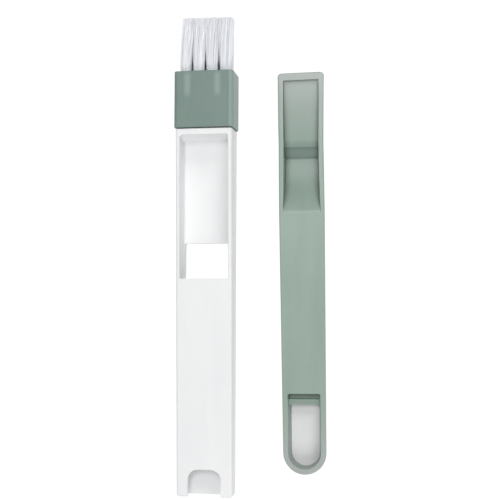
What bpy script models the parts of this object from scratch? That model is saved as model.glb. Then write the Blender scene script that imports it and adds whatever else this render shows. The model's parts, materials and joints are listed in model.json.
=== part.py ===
"""A groove cleaning brush with a hollow handle, and the small dustpan that stores inside the handle.

Metres, +Z up. Both pieces lie face up on the surface, long sides along Y, with the bristles towards +Y.
The origin is on the surface, under the middle of the pair.
"""

import math
import random

import bmesh
import bpy
from mathutils import Vector

# Handle, measured along Y from its open end
HANDLE_LENGTH = 0.1700
HANDLE_WIDTH_AT_CAP = 0.0266
HANDLE_WIDTH_AT_MOUTH = 0.0261
HANDLE_DEPTH_AT_CAP = 0.0149
HANDLE_DEPTH_AT_MOUTH = 0.0098
HANDLE_EDGE_RADIUS = 0.0011
FRONT_WALL = 0.0016
BACK_WALL_AT_MOUTH = 0.0016
BACK_WALL_AT_RECESS_TOP = 0.0040
MOUTH_ROUND_LENGTH = 0.0020
MOUTH_ROUND_DEPTH = 0.0008

# Channel, recess, window and notch in the handle
PAN_SIDE_CLEARANCE = 0.00025
CHANNEL_CORNER = 0.0006
WINDOW_LOW = 0.1005
WINDOW_LENGTH = 0.0168
WINDOW_LEDGE = 0.0002
WINDOW_CORNER = 0.0008
RECESS_END_FROM_CAP = 0.0025
RECESS_END_SLANT = 0.0015
RECESS_CORNER = 0.0009
RECESS_FLOOR_DROP = 0.0003
RECESS_SIDE_RELIEF = 0.00008
NOTCH_WIDTH = 0.0154
NOTCH_LENGTH = 0.0125
NOTCH_CORNER = 0.0036

# Cap that carries the bristles
CAP_LENGTH = 0.0267
CAP_PROUD = 0.0007
CAP_WALL = 0.0015
CAP_DRAFT = 0.0001
CAP_EDGE_RADIUS = 0.0017
CAP_END_ROUND = 0.0006
CAP_MOUTH_ROUND = 0.0004
TENON_LENGTH = 0.0135
TENON_WALL = 0.0016
TENON_CORNER = 0.0008
FIT_GAP = 0.0003

# Tufts, in columns across X and rows along Z
TUFT_COLUMNS = 4
TUFT_ROWS = 2
TUFT_PITCH = 0.00632
TUFT_PITCH_AT_TIPS = 0.0061
TUFT_DIAMETER = 0.0049
TUFT_HOLE_DEPTH = 0.0085
TUFT_PLUG_PROUD = 0.0002
TIP_GAP = 0.0003
BRISTLE_FREE_LENGTH = 0.0257
BRISTLE_WIDTH = 0.00042
BRISTLE_WIDTH_AT_TIP = 0.00056
BRISTLE_LEAN = 0.0006
TRIM_RISE_ACROSS_HEAD = 0.0005
TRIM_UNEVENNESS = 0.00025
ANCHOR_THICKNESS = 0.0005
ANCHOR_HEIGHT = 0.0020
ANCHOR_ABOVE_FOLD = 0.0012

# Each tuft is a grid of strands across X and along Z, without the four corner ones
STRANDS_ACROSS = 6
STRANDS_DEEP = 7
STRAND_BEND_SHARES = (0.5, 1.0)
STRAND_FLARE_SHARES = (0.62, 1.0)
TRIM_SEED = 7

# Dustpan, measured along Y from the end of its loop
PAN_LENGTH = 0.1863
PAN_DEPTH = 0.0060
PAN_SKIN = 0.0012
PAN_SIDE_WALL = 0.0016
PAN_WIDTH_AT_TIP = 0.0221
PAN_WIDTH_AT_WAIST = 0.0211
PAN_WIDTH_AT_RIDGE = 0.0214
PAN_WIDTH_AT_LOOP = 0.0200
PAN_TIP_CORNER = 0.0018
PAN_EDGE_ROUND = 0.0007
PAN_FLANK_DRAFT = 0.0005
BAR_STATION_SHARES = (0.25, 0.5, 0.75)

# Bowl of the dustpan, measured from its tip
BOWL_RIM_WIDTH = 0.0023
BOWL_RIM_WIDTH_AT_RIDGE = 0.0019
BOWL_DRAFT = 0.0008
BOWL_LIP_LENGTH = 0.0037
BOWL_LIP_HEIGHT = 0.0041
BOWL_LIP_STEP = 0.0013
BOWL_RIM_RISE_LENGTH = 0.0300
BOWL_STEP_FROM_TIP = 0.0348
BOWL_STEP_HEIGHT = 0.0031
BOWL_STEP_LENGTH = 0.0062
BOWL_CROWN = 0.0003
RIDGE_FROM_TIP = 0.0653

# Hanging hole of the dustpan
HOLE_RIM_WIDTH = 0.0026
HOLE_DRAFT = 0.0009
HOLE_FAR_SIDE = 0.0318
HOLE_CORNER = 0.0008
HOLE_BAR_LENGTH = 0.0024
HOLE_BAR_HEIGHT = 0.0040
HOLE_GROOVE_LENGTH = 0.0026
HOLE_GROOVE_HEIGHT = 0.0016

# How the two pieces lie beside each other
PAN_BESIDE_BRUSH = 0.0450
PAN_TIP_PAST_CAP = 0.0003
PAN_LIE_ANGLE = math.radians(0.73)

# How far a cutter runs past the face that it opens
OVERRUN = 0.0020

CORNER_STEPS = 4
ARC_STEPS = 10
BOWL_STEPS = 8
HOLE_SIDES = 20
SMOOTH_UNDER = math.radians(35)

WHITE_PLASTIC = (0.86, 0.87, 0.87, 1.0)
SAGE_PLASTIC = (0.212, 0.287, 0.262, 1.0)
SAGE_PLASTIC_LIGHT = (0.319, 0.413, 0.366, 1.0)
WHITE_FILAMENT = (0.78, 0.81, 0.87, 1.0)
ANCHOR_STEEL = (0.60, 0.58, 0.54, 1.0)


# Scene, collections and materials


def clear_scene():
    for obj in list(bpy.data.objects):
        bpy.data.objects.remove(obj, do_unlink=True)


def new_collection(name):
    collection = bpy.data.collections.new(name)
    bpy.context.scene.collection.children.link(collection)
    return collection


def new_material(name, color, roughness, metallic=0.0):
    material = bpy.data.materials.new(name)
    material.use_nodes = True
    shader = material.node_tree.nodes["Principled BSDF"]
    shader.inputs["Base Color"].default_value = color
    shader.inputs["Roughness"].default_value = roughness
    shader.inputs["Metallic"].default_value = metallic
    return material


def add_object(name, bm, collection, material=None, parent=None):
    """Turns a bmesh into a named object with outward faces."""
    bmesh.ops.recalc_face_normals(bm, faces=bm.faces)
    mesh = bpy.data.meshes.new(name)
    bm.to_mesh(mesh)
    bm.free()
    mesh.shade_smooth()
    mesh.set_sharp_from_angle(angle=SMOOTH_UNDER)
    obj = bpy.data.objects.new(name, mesh)
    collection.objects.link(obj)
    obj.parent = parent
    if material:
        mesh.materials.append(material)
    return obj


def add_empty(name, collection):
    empty = bpy.data.objects.new(name, None)
    collection.objects.link(empty)
    return empty


def boolean(obj, name, bm, operation="DIFFERENCE"):
    """Cuts or joins a shape given in obj's own axes, and keeps that shape as a hidden wire guide."""
    guide = add_object(name, bm, bpy.data.collections["cutters"])
    guide.parent = obj.parent
    guide.location = obj.location
    guide.hide_render = True
    guide.display_type = "WIRE"
    modifier = obj.modifiers.new(name, "BOOLEAN")
    modifier.operation = operation
    modifier.object = guide


# Shapes


def line(y, y_start, value_start, y_end, value_end):
    """The value at y on the straight line through two stations."""
    return value_start + (value_end - value_start) * (y - y_start) / (y_end - y_start)


def path_through(y, stations):
    """The value at y on the open path through a list of (y, value) stations."""
    for (y_start, value_start), (y_end, value_end) in zip(stations, stations[1:]):
        if y <= y_end:
            break
    return line(y, y_start, value_start, y_end, value_end)


def rounded_section(y, half_width, z_low, z_high, radius):
    """A rectangle with round corners, square to Y."""
    points = []
    for quarter, (side_x, side_z) in enumerate(((1, 1), (-1, 1), (-1, -1), (1, -1))):
        centre_x = side_x * (half_width - radius)
        centre_z = z_high - radius if side_z > 0 else z_low + radius
        for step in range(CORNER_STEPS + 1):
            angle = (quarter + step / CORNER_STEPS) * math.pi / 2
            points.append((centre_x + radius * math.cos(angle), y, centre_z + radius * math.sin(angle)))
    return points


def tapered_section(y_low, half_low, z_low, y_high, half_high, z_high):
    """Four corners, the lower two and the upper two each with their own place and width."""
    return [
        (half_high, y_high, z_high),
        (-half_high, y_high, z_high),
        (-half_low, y_low, z_low),
        (half_low, y_low, z_low),
    ]


def loft(sections):
    """A closed body through sections that have the same number of points."""
    bm = bmesh.new()
    rings = [[bm.verts.new(point) for point in section] for section in sections]
    count = len(rings[0])
    for near, far in zip(rings, rings[1:]):
        for i in range(count):
            j = (i + 1) % count
            bm.faces.new((near[i], near[j], far[j], far[i]))
    bm.faces.new(rings[0])
    bm.faces.new(rings[-1])
    return bm


def upright_shell(levels):
    """A closed body from plan outlines stacked along Z.

    Each level is a list of (half width, y, z) along the right side, from one end to the other. The left side
    mirrors it, and strips across X close the bottom and the top.
    """
    bm = bmesh.new()
    rights = [[bm.verts.new((x, y, z)) for x, y, z in level] for level in levels]
    lefts = [[bm.verts.new((-x, y, z)) for x, y, z in level] for level in levels]
    last = len(levels[0]) - 1
    for k in range(len(levels) - 1):
        for side in (rights, lefts):
            for i in range(last):
                bm.faces.new((side[k][i], side[k][i + 1], side[k + 1][i + 1], side[k + 1][i]))
        for i in (0, last):
            bm.faces.new((rights[k][i], rights[k + 1][i], lefts[k + 1][i], lefts[k][i]))
    for right, left in ((rights[0], lefts[0]), (rights[-1], lefts[-1])):
        for i in range(last):
            bm.faces.new((right[i], right[i + 1], left[i + 1], left[i]))
    return bm


def block(low, high):
    """A cuboid between two corners."""
    bm = bmesh.new()
    bmesh.ops.create_cube(bm, size=1)
    bmesh.ops.scale(bm, vec=Vector(high) - Vector(low), verts=bm.verts)
    bmesh.ops.translate(bm, vec=(Vector(high) + Vector(low)) / 2, verts=bm.verts)
    return bm


def round_edges(bm, axis, radius, wanted=lambda middle: True, steps=CORNER_STEPS):
    """Rounds the edges that run mostly along one axis and whose middle is wanted."""
    chosen = []
    for edge in bm.edges:
        run = edge.verts[1].co - edge.verts[0].co
        along = abs(run[axis]) > run.length / 2
        if along and wanted((edge.verts[0].co + edge.verts[1].co) / 2):
            chosen.append(edge)
    bmesh.ops.bevel(
        bm, geom=chosen, offset=radius, offset_type="OFFSET", segments=steps, profile=0.5, affect="EDGES"
    )
    return bm


def rounded_end(y_face, length, depth):
    """Stations of an end whose edge is a quarter ellipse: (y, how far the section is drawn in).

    A positive length rounds away from the face towards +Y.
    """
    stations = []
    for step in range(CORNER_STEPS + 1):
        angle = (1 - step / CORNER_STEPS) * math.pi / 2
        stations.append((y_face + length * (1 - math.sin(angle)), depth * (1 - math.cos(angle))))
    return stations


# Handle


def back_z(y):
    """The back runs from the surface at the mouth up to the step of the cap."""
    return line(y, 0, 0, HANDLE_LENGTH, CAP_PROUD)


def front_z(y):
    return line(y, 0, HANDLE_DEPTH_AT_MOUTH, HANDLE_LENGTH, CAP_PROUD + HANDLE_DEPTH_AT_CAP)


def handle_half_width(y):
    return line(y, 0, HANDLE_WIDTH_AT_MOUTH, HANDLE_LENGTH, HANDLE_WIDTH_AT_CAP) / 2


def recess_top():
    return HANDLE_LENGTH - RECESS_END_FROM_CAP


def floor_z(y):
    """One plane carries the dustpan from the mouth to the top of the recess."""
    top = recess_top() - RECESS_END_SLANT
    return line(y, 0, BACK_WALL_AT_MOUTH, top, back_z(top) + BACK_WALL_AT_RECESS_TOP)


def channel_half_width():
    return PAN_WIDTH_AT_TIP / 2 + PAN_SIDE_CLEARANCE


def handle_outside():
    ends = rounded_end(0, MOUTH_ROUND_LENGTH, MOUTH_ROUND_DEPTH) + [(HANDLE_LENGTH, 0)]
    return loft(
        rounded_section(
            y,
            handle_half_width(y) - inset,
            back_z(y) + inset,
            front_z(y) - inset,
            HANDLE_EDGE_RADIUS - inset / 2,
        )
        for y, inset in ends
    )


def tenon_box(grow):
    """Half width, low z and high z of the tenon, grown by the gap for the socket."""
    half = cap_half_width(cap_mouth()) - CAP_WALL - FIT_GAP + grow
    return half, CAP_WALL + FIT_GAP - grow, cap_depth() - CAP_WALL - FIT_GAP + grow


def tenon():
    half, low, high = tenon_box(0)
    body = block((-half, HANDLE_LENGTH - OVERRUN, low), (half, HANDLE_LENGTH + TENON_LENGTH, high))
    return round_edges(body, 1, TENON_CORNER)


def tenon_bore():
    """The tenon is hollow down to the wall that ends the recess."""
    half, low, high = tenon_box(-TENON_WALL)
    start = recess_top() + TENON_WALL
    return block((-half, start, low), (half, HANDLE_LENGTH + TENON_LENGTH + OVERRUN, high))


def channel():
    return loft(
        rounded_section(y, channel_half_width(), floor_z(y), front_z(y) - FRONT_WALL, CHANNEL_CORNER)
        for y in (-OVERRUN, WINDOW_LOW + OVERRUN)
    )


def recess():
    half_low = channel_half_width() + RECESS_SIDE_RELIEF
    half_high = half_low + RECESS_SIDE_RELIEF
    top = recess_top()
    slant_low = top - RECESS_END_SLANT
    past_face = RECESS_END_SLANT * OVERRUN / (front_z(top) - floor_z(slant_low))
    body = loft(
        tapered_section(
            y_low,
            half_low,
            floor_z(y_low) - RECESS_FLOOR_DROP,
            y_high,
            half_high,
            front_z(y_high) + OVERRUN,
        )
        for y_low, y_high in ((WINDOW_LOW, WINDOW_LOW), (slant_low, top + past_face))
    )
    return round_edges(body, 2, RECESS_CORNER, lambda middle: middle.y > slant_low)


def window():
    half = channel_half_width() - WINDOW_LEDGE
    high = WINDOW_LOW + WINDOW_LENGTH
    body = block((-half, WINDOW_LOW, -OVERRUN), (half, high, floor_z(high) + OVERRUN))
    return round_edges(body, 2, WINDOW_CORNER)


def notch():
    """The round-shouldered cut in the front wall that uncovers the stored dustpan's loop."""
    half = NOTCH_WIDTH / 2
    low = (floor_z(0) + front_z(0) - FRONT_WALL) / 2
    body = block((-half, -OVERRUN, low), (half, NOTCH_LENGTH, front_z(NOTCH_LENGTH) + OVERRUN))
    return round_edges(body, 2, NOTCH_CORNER, lambda middle: middle.y > 0, steps=2 * CORNER_STEPS)


def build_handle(collection, parent, material):
    handle = add_object("handle_shell", handle_outside(), collection, material, parent)
    boolean(handle, "tenon", tenon(), "UNION")
    for shape in (tenon_bore, channel, recess, window, notch):
        boolean(handle, shape.__name__, shape())
    return handle


# Cap


def cap_mouth():
    return HANDLE_LENGTH + FIT_GAP


def cap_end():
    return cap_mouth() + CAP_LENGTH


def cap_depth():
    return HANDLE_DEPTH_AT_CAP + 2 * CAP_PROUD


def cap_half_width(y):
    """The flanks open by the draft towards the mouth."""
    widest = HANDLE_WIDTH_AT_CAP / 2 + CAP_PROUD
    return line(y, cap_mouth(), widest, cap_end(), widest - CAP_DRAFT)


def cap_outside():
    mouth = rounded_end(cap_mouth(), CAP_MOUTH_ROUND, CAP_MOUTH_ROUND)
    end = rounded_end(cap_end(), -CAP_END_ROUND, CAP_END_ROUND)
    return loft(
        rounded_section(
            y, cap_half_width(y) - inset, inset, cap_depth() - inset, CAP_EDGE_RADIUS - inset / 2
        )
        for y, inset in mouth + end[::-1]
    )


def socket():
    half, low, high = tenon_box(FIT_GAP)
    far = HANDLE_LENGTH + TENON_LENGTH + FIT_GAP
    body = block((-half, cap_mouth() - OVERRUN, low), (half, far, high))
    return round_edges(body, 1, TENON_CORNER + FIT_GAP)


def tuft_centres(pitch):
    """(x, z) of each tuft, column by column."""
    for column in range(TUFT_COLUMNS):
        for row in range(TUFT_ROWS):
            x = (column - (TUFT_COLUMNS - 1) / 2) * pitch
            z = (row - (TUFT_ROWS - 1) / 2) * pitch
            yield x, cap_depth() / 2 + z


def cylinder_along_y(bm, radius, x, z, y_low, y_high, sides):
    made = bmesh.ops.create_cone(
        bm, cap_ends=True, segments=sides, radius1=radius, radius2=radius, depth=y_high - y_low
    )
    for vert in made["verts"]:
        across, deep, along = vert.co
        vert.co = (x + across, (y_low + y_high) / 2 + along, z + deep)


def tuft_holes():
    bm = bmesh.new()
    bottom = cap_end() - TUFT_HOLE_DEPTH
    for x, z in tuft_centres(TUFT_PITCH):
        radius = TUFT_DIAMETER / 2 + FIT_GAP
        cylinder_along_y(bm, radius, x, z, bottom, cap_end() + OVERRUN, HOLE_SIDES)
    return bm


def build_cap(collection, parent, material):
    cap = add_object("brush_head", cap_outside(), collection, material, parent)
    boolean(cap, "socket", socket())
    boolean(cap, "tuft_holes", tuft_holes())
    return cap


# Tufts and their anchors


def plug_bottom():
    return cap_end() - TUFT_HOLE_DEPTH + FIT_GAP


def anchor_span():
    low = plug_bottom() + ANCHOR_ABOVE_FOLD
    return low, low + ANCHOR_HEIGHT


def strand_grid(bm):
    """A round patch of cells, and for each cell its (across, deep) place, from -1 to 1 at the outermost."""
    bmesh.ops.create_grid(bm, x_segments=STRANDS_ACROSS, y_segments=STRANDS_DEEP, size=1)
    corners = [face for face in bm.faces if sum(vert.is_boundary for vert in face.verts) == 3]
    bmesh.ops.delete(bm, geom=corners, context="FACES")
    places = {}
    for face in bm.faces:
        across, deep, _ = face.calc_center_median()
        places[face] = (
            across * STRANDS_ACROSS / (STRANDS_ACROSS - 1),
            deep * STRANDS_DEEP / (STRANDS_DEEP - 1),
        )
    rim = [vert for vert in bm.verts if vert.is_boundary]
    for vert in bm.verts:
        across, deep, _ = vert.co
        vert.co.x = across * math.sqrt(1 - deep**2 / 2)
        vert.co.y = deep * math.sqrt(1 - across**2 / 2)
    for vert in rim:
        vert.co.normalize()
    return places


def tuft(base, tip, draw):
    """One tuft: the plug of packed filament that fills its hole, and the strands that rise from the plug.

    base and tip are the (x, z) of the tuft's middle at the cap and at the trimmed end.
    """
    bm = bmesh.new()
    places = strand_grid(bm)
    top_y = cap_end() + TUFT_PLUG_PROUD
    radius = TUFT_DIAMETER / 2
    for vert in bm.verts:
        across, deep, _ = vert.co
        vert.co = (base[0] + radius * across, top_y, base[1] + radius * deep)
    cells = list(places)
    grown = bmesh.ops.extrude_face_region(bm, geom=cells, use_keep_orig=True)
    below = [item for item in grown["geom"] if isinstance(item, bmesh.types.BMVert)]
    bmesh.ops.translate(bm, vec=(0, plug_bottom() - top_y, 0), verts=below)
    floor = [item for item in grown["geom"] if isinstance(item, bmesh.types.BMFace)]
    bmesh.ops.dissolve_faces(bm, faces=floor)
    bmesh.ops.inset_individual(bm, faces=cells, thickness=BRISTLE_WIDTH / 4)
    half_tip = (TUFT_PITCH_AT_TIPS - TIP_GAP - BRISTLE_WIDTH_AT_TIP) / 2
    for cell in cells:
        across, deep = places[cell]
        middle = cell.calc_center_median()
        turns = [(vert.co - middle).normalized() for vert in cell.verts]
        for vert, turn in zip(cell.verts, turns):
            vert.co = middle + turn * BRISTLE_WIDTH / math.sqrt(2)
        end = Vector((tip[0] + half_tip * across, 0, tip[1] + half_tip * deep))
        end.y = trimmed_y(end.x) + draw.uniform(-TRIM_UNEVENNESS, TRIM_UNEVENNESS)
        face = cell
        for height, flare in zip(STRAND_BEND_SHARES, STRAND_FLARE_SHARES):
            centre = middle.lerp(end, flare)
            centre.y = middle.y + (end.y - middle.y) * height
            centre.x += BRISTLE_LEAN * height**2
            width = BRISTLE_WIDTH + (BRISTLE_WIDTH_AT_TIP - BRISTLE_WIDTH) * height
            face = bmesh.ops.extrude_discrete_faces(bm, faces=[face])["faces"][0]
            for vert, turn in zip(face.verts, turns):
                vert.co = centre + turn * width / math.sqrt(2)
    return bm


def trimmed_y(x):
    """The bristles are trimmed on a slant, longer towards +X."""
    across = x / (TUFT_COLUMNS * TUFT_PITCH)
    return cap_end() + BRISTLE_FREE_LENGTH + TRIM_RISE_ACROSS_HEAD * across


def anchor_slot(x, z):
    """The way across the plug in which the folded filaments hold their anchor."""
    low, high = anchor_span()
    half = ANCHOR_THICKNESS / 2 + FIT_GAP
    reach = TUFT_DIAMETER / 2 + OVERRUN
    return block((x - reach, low - FIT_GAP, z - half), (x + reach, high + FIT_GAP, z + half))


def anchor(x, z):
    """A flat piece of wire across the hole."""
    low, high = anchor_span()
    half = ANCHOR_THICKNESS / 2
    reach = TUFT_DIAMETER / 2
    return block((x - reach, low, z - half), (x + reach, high, z + half))


def build_tufts(collection, parent, filament, steel):
    draw = random.Random(TRIM_SEED)
    bases = tuft_centres(TUFT_PITCH)
    tips = tuft_centres(TUFT_PITCH_AT_TIPS)
    for number, (base, tip) in enumerate(zip(bases, tips), start=1):
        bundle = add_object(f"tuft_{number}", tuft(base, tip, draw), collection, filament, parent)
        boolean(bundle, f"anchor_slot_{number}", anchor_slot(*base))
        add_object(f"anchor_{number}", anchor(*base), collection, steel, parent)


# Dustpan


def loop_radius():
    return PAN_WIDTH_AT_LOOP / 2


def pan_half_width(y):
    return (
        path_through(
            y,
            [
                (loop_radius(), PAN_WIDTH_AT_LOOP),
                (PAN_LENGTH - RIDGE_FROM_TIP, PAN_WIDTH_AT_RIDGE),
                (PAN_LENGTH - BOWL_STEP_FROM_TIP, PAN_WIDTH_AT_WAIST),
                (PAN_LENGTH, PAN_WIDTH_AT_TIP),
            ],
        )
        / 2
    )


def pit_from_tip():
    return BOWL_STEP_FROM_TIP + BOWL_STEP_LENGTH


def bowl_floor_z(from_tip):
    """A long, slightly crowned floor behind the lip, a step down to a pit, and a curved ramp to the ridge."""
    if from_tip < BOWL_STEP_FROM_TIP:
        share = line(from_tip, BOWL_LIP_LENGTH, 0, BOWL_STEP_FROM_TIP, 1)
        level = line(share, 0, BOWL_LIP_HEIGHT - BOWL_LIP_STEP, 1, BOWL_STEP_HEIGHT)
        return level + BOWL_CROWN * 4 * share * (1 - share)
    if from_tip < pit_from_tip():
        return line(from_tip, BOWL_STEP_FROM_TIP, BOWL_STEP_HEIGHT, pit_from_tip(), PAN_SKIN)
    share = line(from_tip, pit_from_tip(), 0, RIDGE_FROM_TIP, 1)
    return PAN_SKIN + (PAN_DEPTH - PAN_SKIN) * share**2


def underside_z(from_tip):
    """The underside follows the floor behind the lip, and lies on the surface from the pit on."""
    return bowl_floor_z(from_tip) - PAN_SKIN if from_tip < pit_from_tip() else 0


def rim_z(from_tip):
    """The rim falls from the full depth to the thin lip in a smooth sweep."""
    share = min(from_tip / BOWL_RIM_RISE_LENGTH, 1)
    return BOWL_LIP_HEIGHT + (PAN_DEPTH - BOWL_LIP_HEIGHT) * share**2 * (3 - 2 * share)


def flank_stations():
    """The y of each outline point along the flank, from past the loop's arc to the tip's corner."""
    arc_end = loop_radius()
    ridge = PAN_LENGTH - RIDGE_FROM_TIP
    step_top = PAN_LENGTH - BOWL_STEP_FROM_TIP
    corner = PAN_LENGTH - PAN_TIP_CORNER
    bar = [arc_end + (ridge - arc_end) * share for share in BAR_STATION_SHARES]
    beside_floor = [step_top + (corner - step_top) * step / BOWL_STEPS for step in range(BOWL_STEPS + 1)]
    return bar + [PAN_LENGTH - pit_from_tip()] + beside_floor


def pan_outline(inset):
    """(half width, y) along the right side, drawn in by inset, from the loop's end to the tip."""
    radius = loop_radius()
    points = []
    for step in range(ARC_STEPS + 1):
        angle = (step + 0.5) / (ARC_STEPS + 0.5) * math.pi / 2
        points.append(((radius - inset) * math.sin(angle), radius - (radius - inset) * math.cos(angle)))
    points += [(pan_half_width(y) - inset, y) for y in flank_stations()]
    corner = PAN_LENGTH - PAN_TIP_CORNER
    middle = pan_half_width(corner) - PAN_TIP_CORNER
    reach = PAN_TIP_CORNER - inset
    for step in range(1, CORNER_STEPS + 1):
        angle = step / CORNER_STEPS * math.pi / 2
        points.append((middle + reach * math.cos(angle), corner + reach * math.sin(angle)))
    return points


def pan_outside():
    levels = [[(x, y, underside_z(PAN_LENGTH - y)) for x, y in pan_outline(PAN_FLANK_DRAFT)]]
    for step in range(CORNER_STEPS):
        angle = step / (CORNER_STEPS - 1) * math.pi / 2
        inset = PAN_EDGE_ROUND * (1 - math.cos(angle))
        drop = PAN_EDGE_ROUND * (1 - math.sin(angle))
        levels.append([(x, y, rim_z(PAN_LENGTH - y) - drop) for x, y in pan_outline(inset)])
    return upright_shell(levels)


def ramp_stations(far):
    """Distances from the tip, evenly spaced from the foot of the ramp to a far end."""
    pit = pit_from_tip()
    return [pit + (far - pit) * step / BOWL_STEPS for step in range(BOWL_STEPS + 1)]


def bowl_half_width(y):
    """Half the bowl's width at the rim, which is narrower at the ridge."""
    ridge, step_top = PAN_LENGTH - RIDGE_FROM_TIP, PAN_LENGTH - BOWL_STEP_FROM_TIP
    rim = line(min(y, step_top), ridge, BOWL_RIM_WIDTH_AT_RIDGE, step_top, BOWL_RIM_WIDTH)
    return pan_half_width(y) - rim


def bowl():
    """The hollow of the tray, its flanks drawn in towards the floor."""
    lean = BOWL_DRAFT / (PAN_DEPTH - PAN_SKIN)
    crowned = BOWL_STEP_FROM_TIP - BOWL_LIP_LENGTH
    stations = [BOWL_LIP_LENGTH + crowned * step / BOWL_STEPS for step in range(BOWL_STEPS + 1)]
    stations += ramp_stations(RIDGE_FROM_TIP + OVERRUN)
    sections = []
    for from_tip in stations:
        y = PAN_LENGTH - from_tip
        inner = bowl_half_width(y)
        low, high = bowl_floor_z(from_tip), PAN_DEPTH + OVERRUN
        sections.append(
            tapered_section(y, inner - lean * (PAN_DEPTH - low), low, y, inner + lean * OVERRUN, high)
        )
    return loft(sections)


def hollow_under_bar():
    """The bar is a channel, open towards the surface, that ends under the ramp."""
    start = PAN_LENGTH - (HOLE_FAR_SIDE + HOLE_BAR_LENGTH + HOLE_GROOVE_LENGTH + PAN_SKIN)
    sections = []
    for from_tip in [start] + ramp_stations(RIDGE_FROM_TIP)[::-1]:
        y = PAN_LENGTH - from_tip
        half = pan_half_width(y) - PAN_SIDE_WALL
        roof = min(bowl_floor_z(from_tip), PAN_DEPTH) - PAN_SKIN
        sections.append(tapered_section(y, half, -OVERRUN, y, half, roof))
    return loft(sections)


def hole_half_width(z):
    """The hanging hole widens from the surface up to its rim."""
    return loop_radius() - HOLE_RIM_WIDTH - HOLE_DRAFT * (PAN_DEPTH - z) / PAN_DEPTH


def hanging_hole():
    levels = []
    for z in (-OVERRUN, PAN_DEPTH + OVERRUN):
        half = hole_half_width(z)
        level = []
        for step in range(ARC_STEPS + 1):
            angle = (step + 0.5) / (ARC_STEPS + 0.5) * math.pi / 2
            level.append((half * math.sin(angle), loop_radius() - half * math.cos(angle), z))
        for step in range(CORNER_STEPS + 1):
            angle = step / CORNER_STEPS * math.pi / 2
            x = half - HOLE_CORNER * (1 - math.cos(angle))
            level.append((x, HOLE_FAR_SIDE - HOLE_CORNER * (1 - math.sin(angle)), z))
        levels.append(level)
    return upright_shell(levels)


def hole_pocket():
    """Where the hole meets the bar, a groove and then a lower cross bar lie below the top face."""
    half = hole_half_width(PAN_DEPTH - PAN_EDGE_ROUND)
    near, bar = HOLE_FAR_SIDE - OVERRUN, HOLE_FAR_SIDE + HOLE_BAR_LENGTH
    far, top = bar + HOLE_GROOVE_LENGTH, PAN_DEPTH + OVERRUN
    profile = (
        (near, HOLE_BAR_HEIGHT),
        (bar, HOLE_BAR_HEIGHT),
        (bar, HOLE_GROOVE_HEIGHT),
        (far, HOLE_GROOVE_HEIGHT),
        (far, top),
        (near, top),
    )
    body = loft([(x, y, z) for y, z in profile] for x in (-half, half))
    return round_edges(body, 2, HOLE_CORNER, lambda middle: middle.y > bar + HOLE_GROOVE_LENGTH / 2)


def build_pan(collection, parent, material):
    pan = add_object("dustpan", pan_outside(), collection, material, parent)
    pan.location.y = -PAN_LENGTH / 2
    for shape in (bowl, hanging_hole, hole_pocket, hollow_under_bar):
        boolean(pan, shape.__name__, shape())
    return pan


# The pair


def lay_beside(brush, pan_seat):
    """Lays the dustpan to the right of the brush, its tip about level with the cap's end face."""
    pan_seat.location.x = PAN_BESIDE_BRUSH
    pan_seat.location.y = cap_end() + PAN_TIP_PAST_CAP - PAN_LENGTH / 2
    pan_seat.rotation_euler.z = PAN_LIE_ANGLE


def stand_on_origin(seats, parts):
    """Moves both seats so that the origin is under the middle of the pair's box."""
    bpy.context.view_layer.update()
    graph = bpy.context.evaluated_depsgraph_get()
    corners = []
    for part in parts:
        shaped = part.evaluated_get(graph)
        corners += [shaped.matrix_world @ vert.co for vert in shaped.data.vertices]
    for axis in (0, 1):
        places = [corner[axis] for corner in corners]
        for seat in seats:
            seat.location[axis] -= (min(places) + max(places)) / 2


def main():
    clear_scene()
    parts = new_collection("cleaning_brush")
    new_collection("cutters")
    white = new_material("white_plastic", WHITE_PLASTIC, 0.35)
    sage = new_material("sage_plastic", SAGE_PLASTIC, 0.38)
    light_sage = new_material("sage_plastic_light", SAGE_PLASTIC_LIGHT, 0.45)
    filament = new_material("white_filament", WHITE_FILAMENT, 0.5)
    steel = new_material("anchor_steel", ANCHOR_STEEL, 0.35, metallic=1.0)

    brush = add_empty("brush_seat", parts)
    pan_seat = add_empty("dustpan_seat", parts)
    build_handle(parts, brush, white)
    build_cap(parts, brush, sage)
    build_tufts(parts, brush, filament, steel)
    build_pan(parts, pan_seat, light_sage)
    lay_beside(brush, pan_seat)
    solids = [obj for obj in parts.objects if obj.type == "MESH"]
    stand_on_origin((brush, pan_seat), solids)
    bpy.context.view_layer.update()


main()
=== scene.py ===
"""A groove cleaning brush with a hollow white handle and a sage green cap, and its dustpan beside it."""

import json
import math
import random

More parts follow.
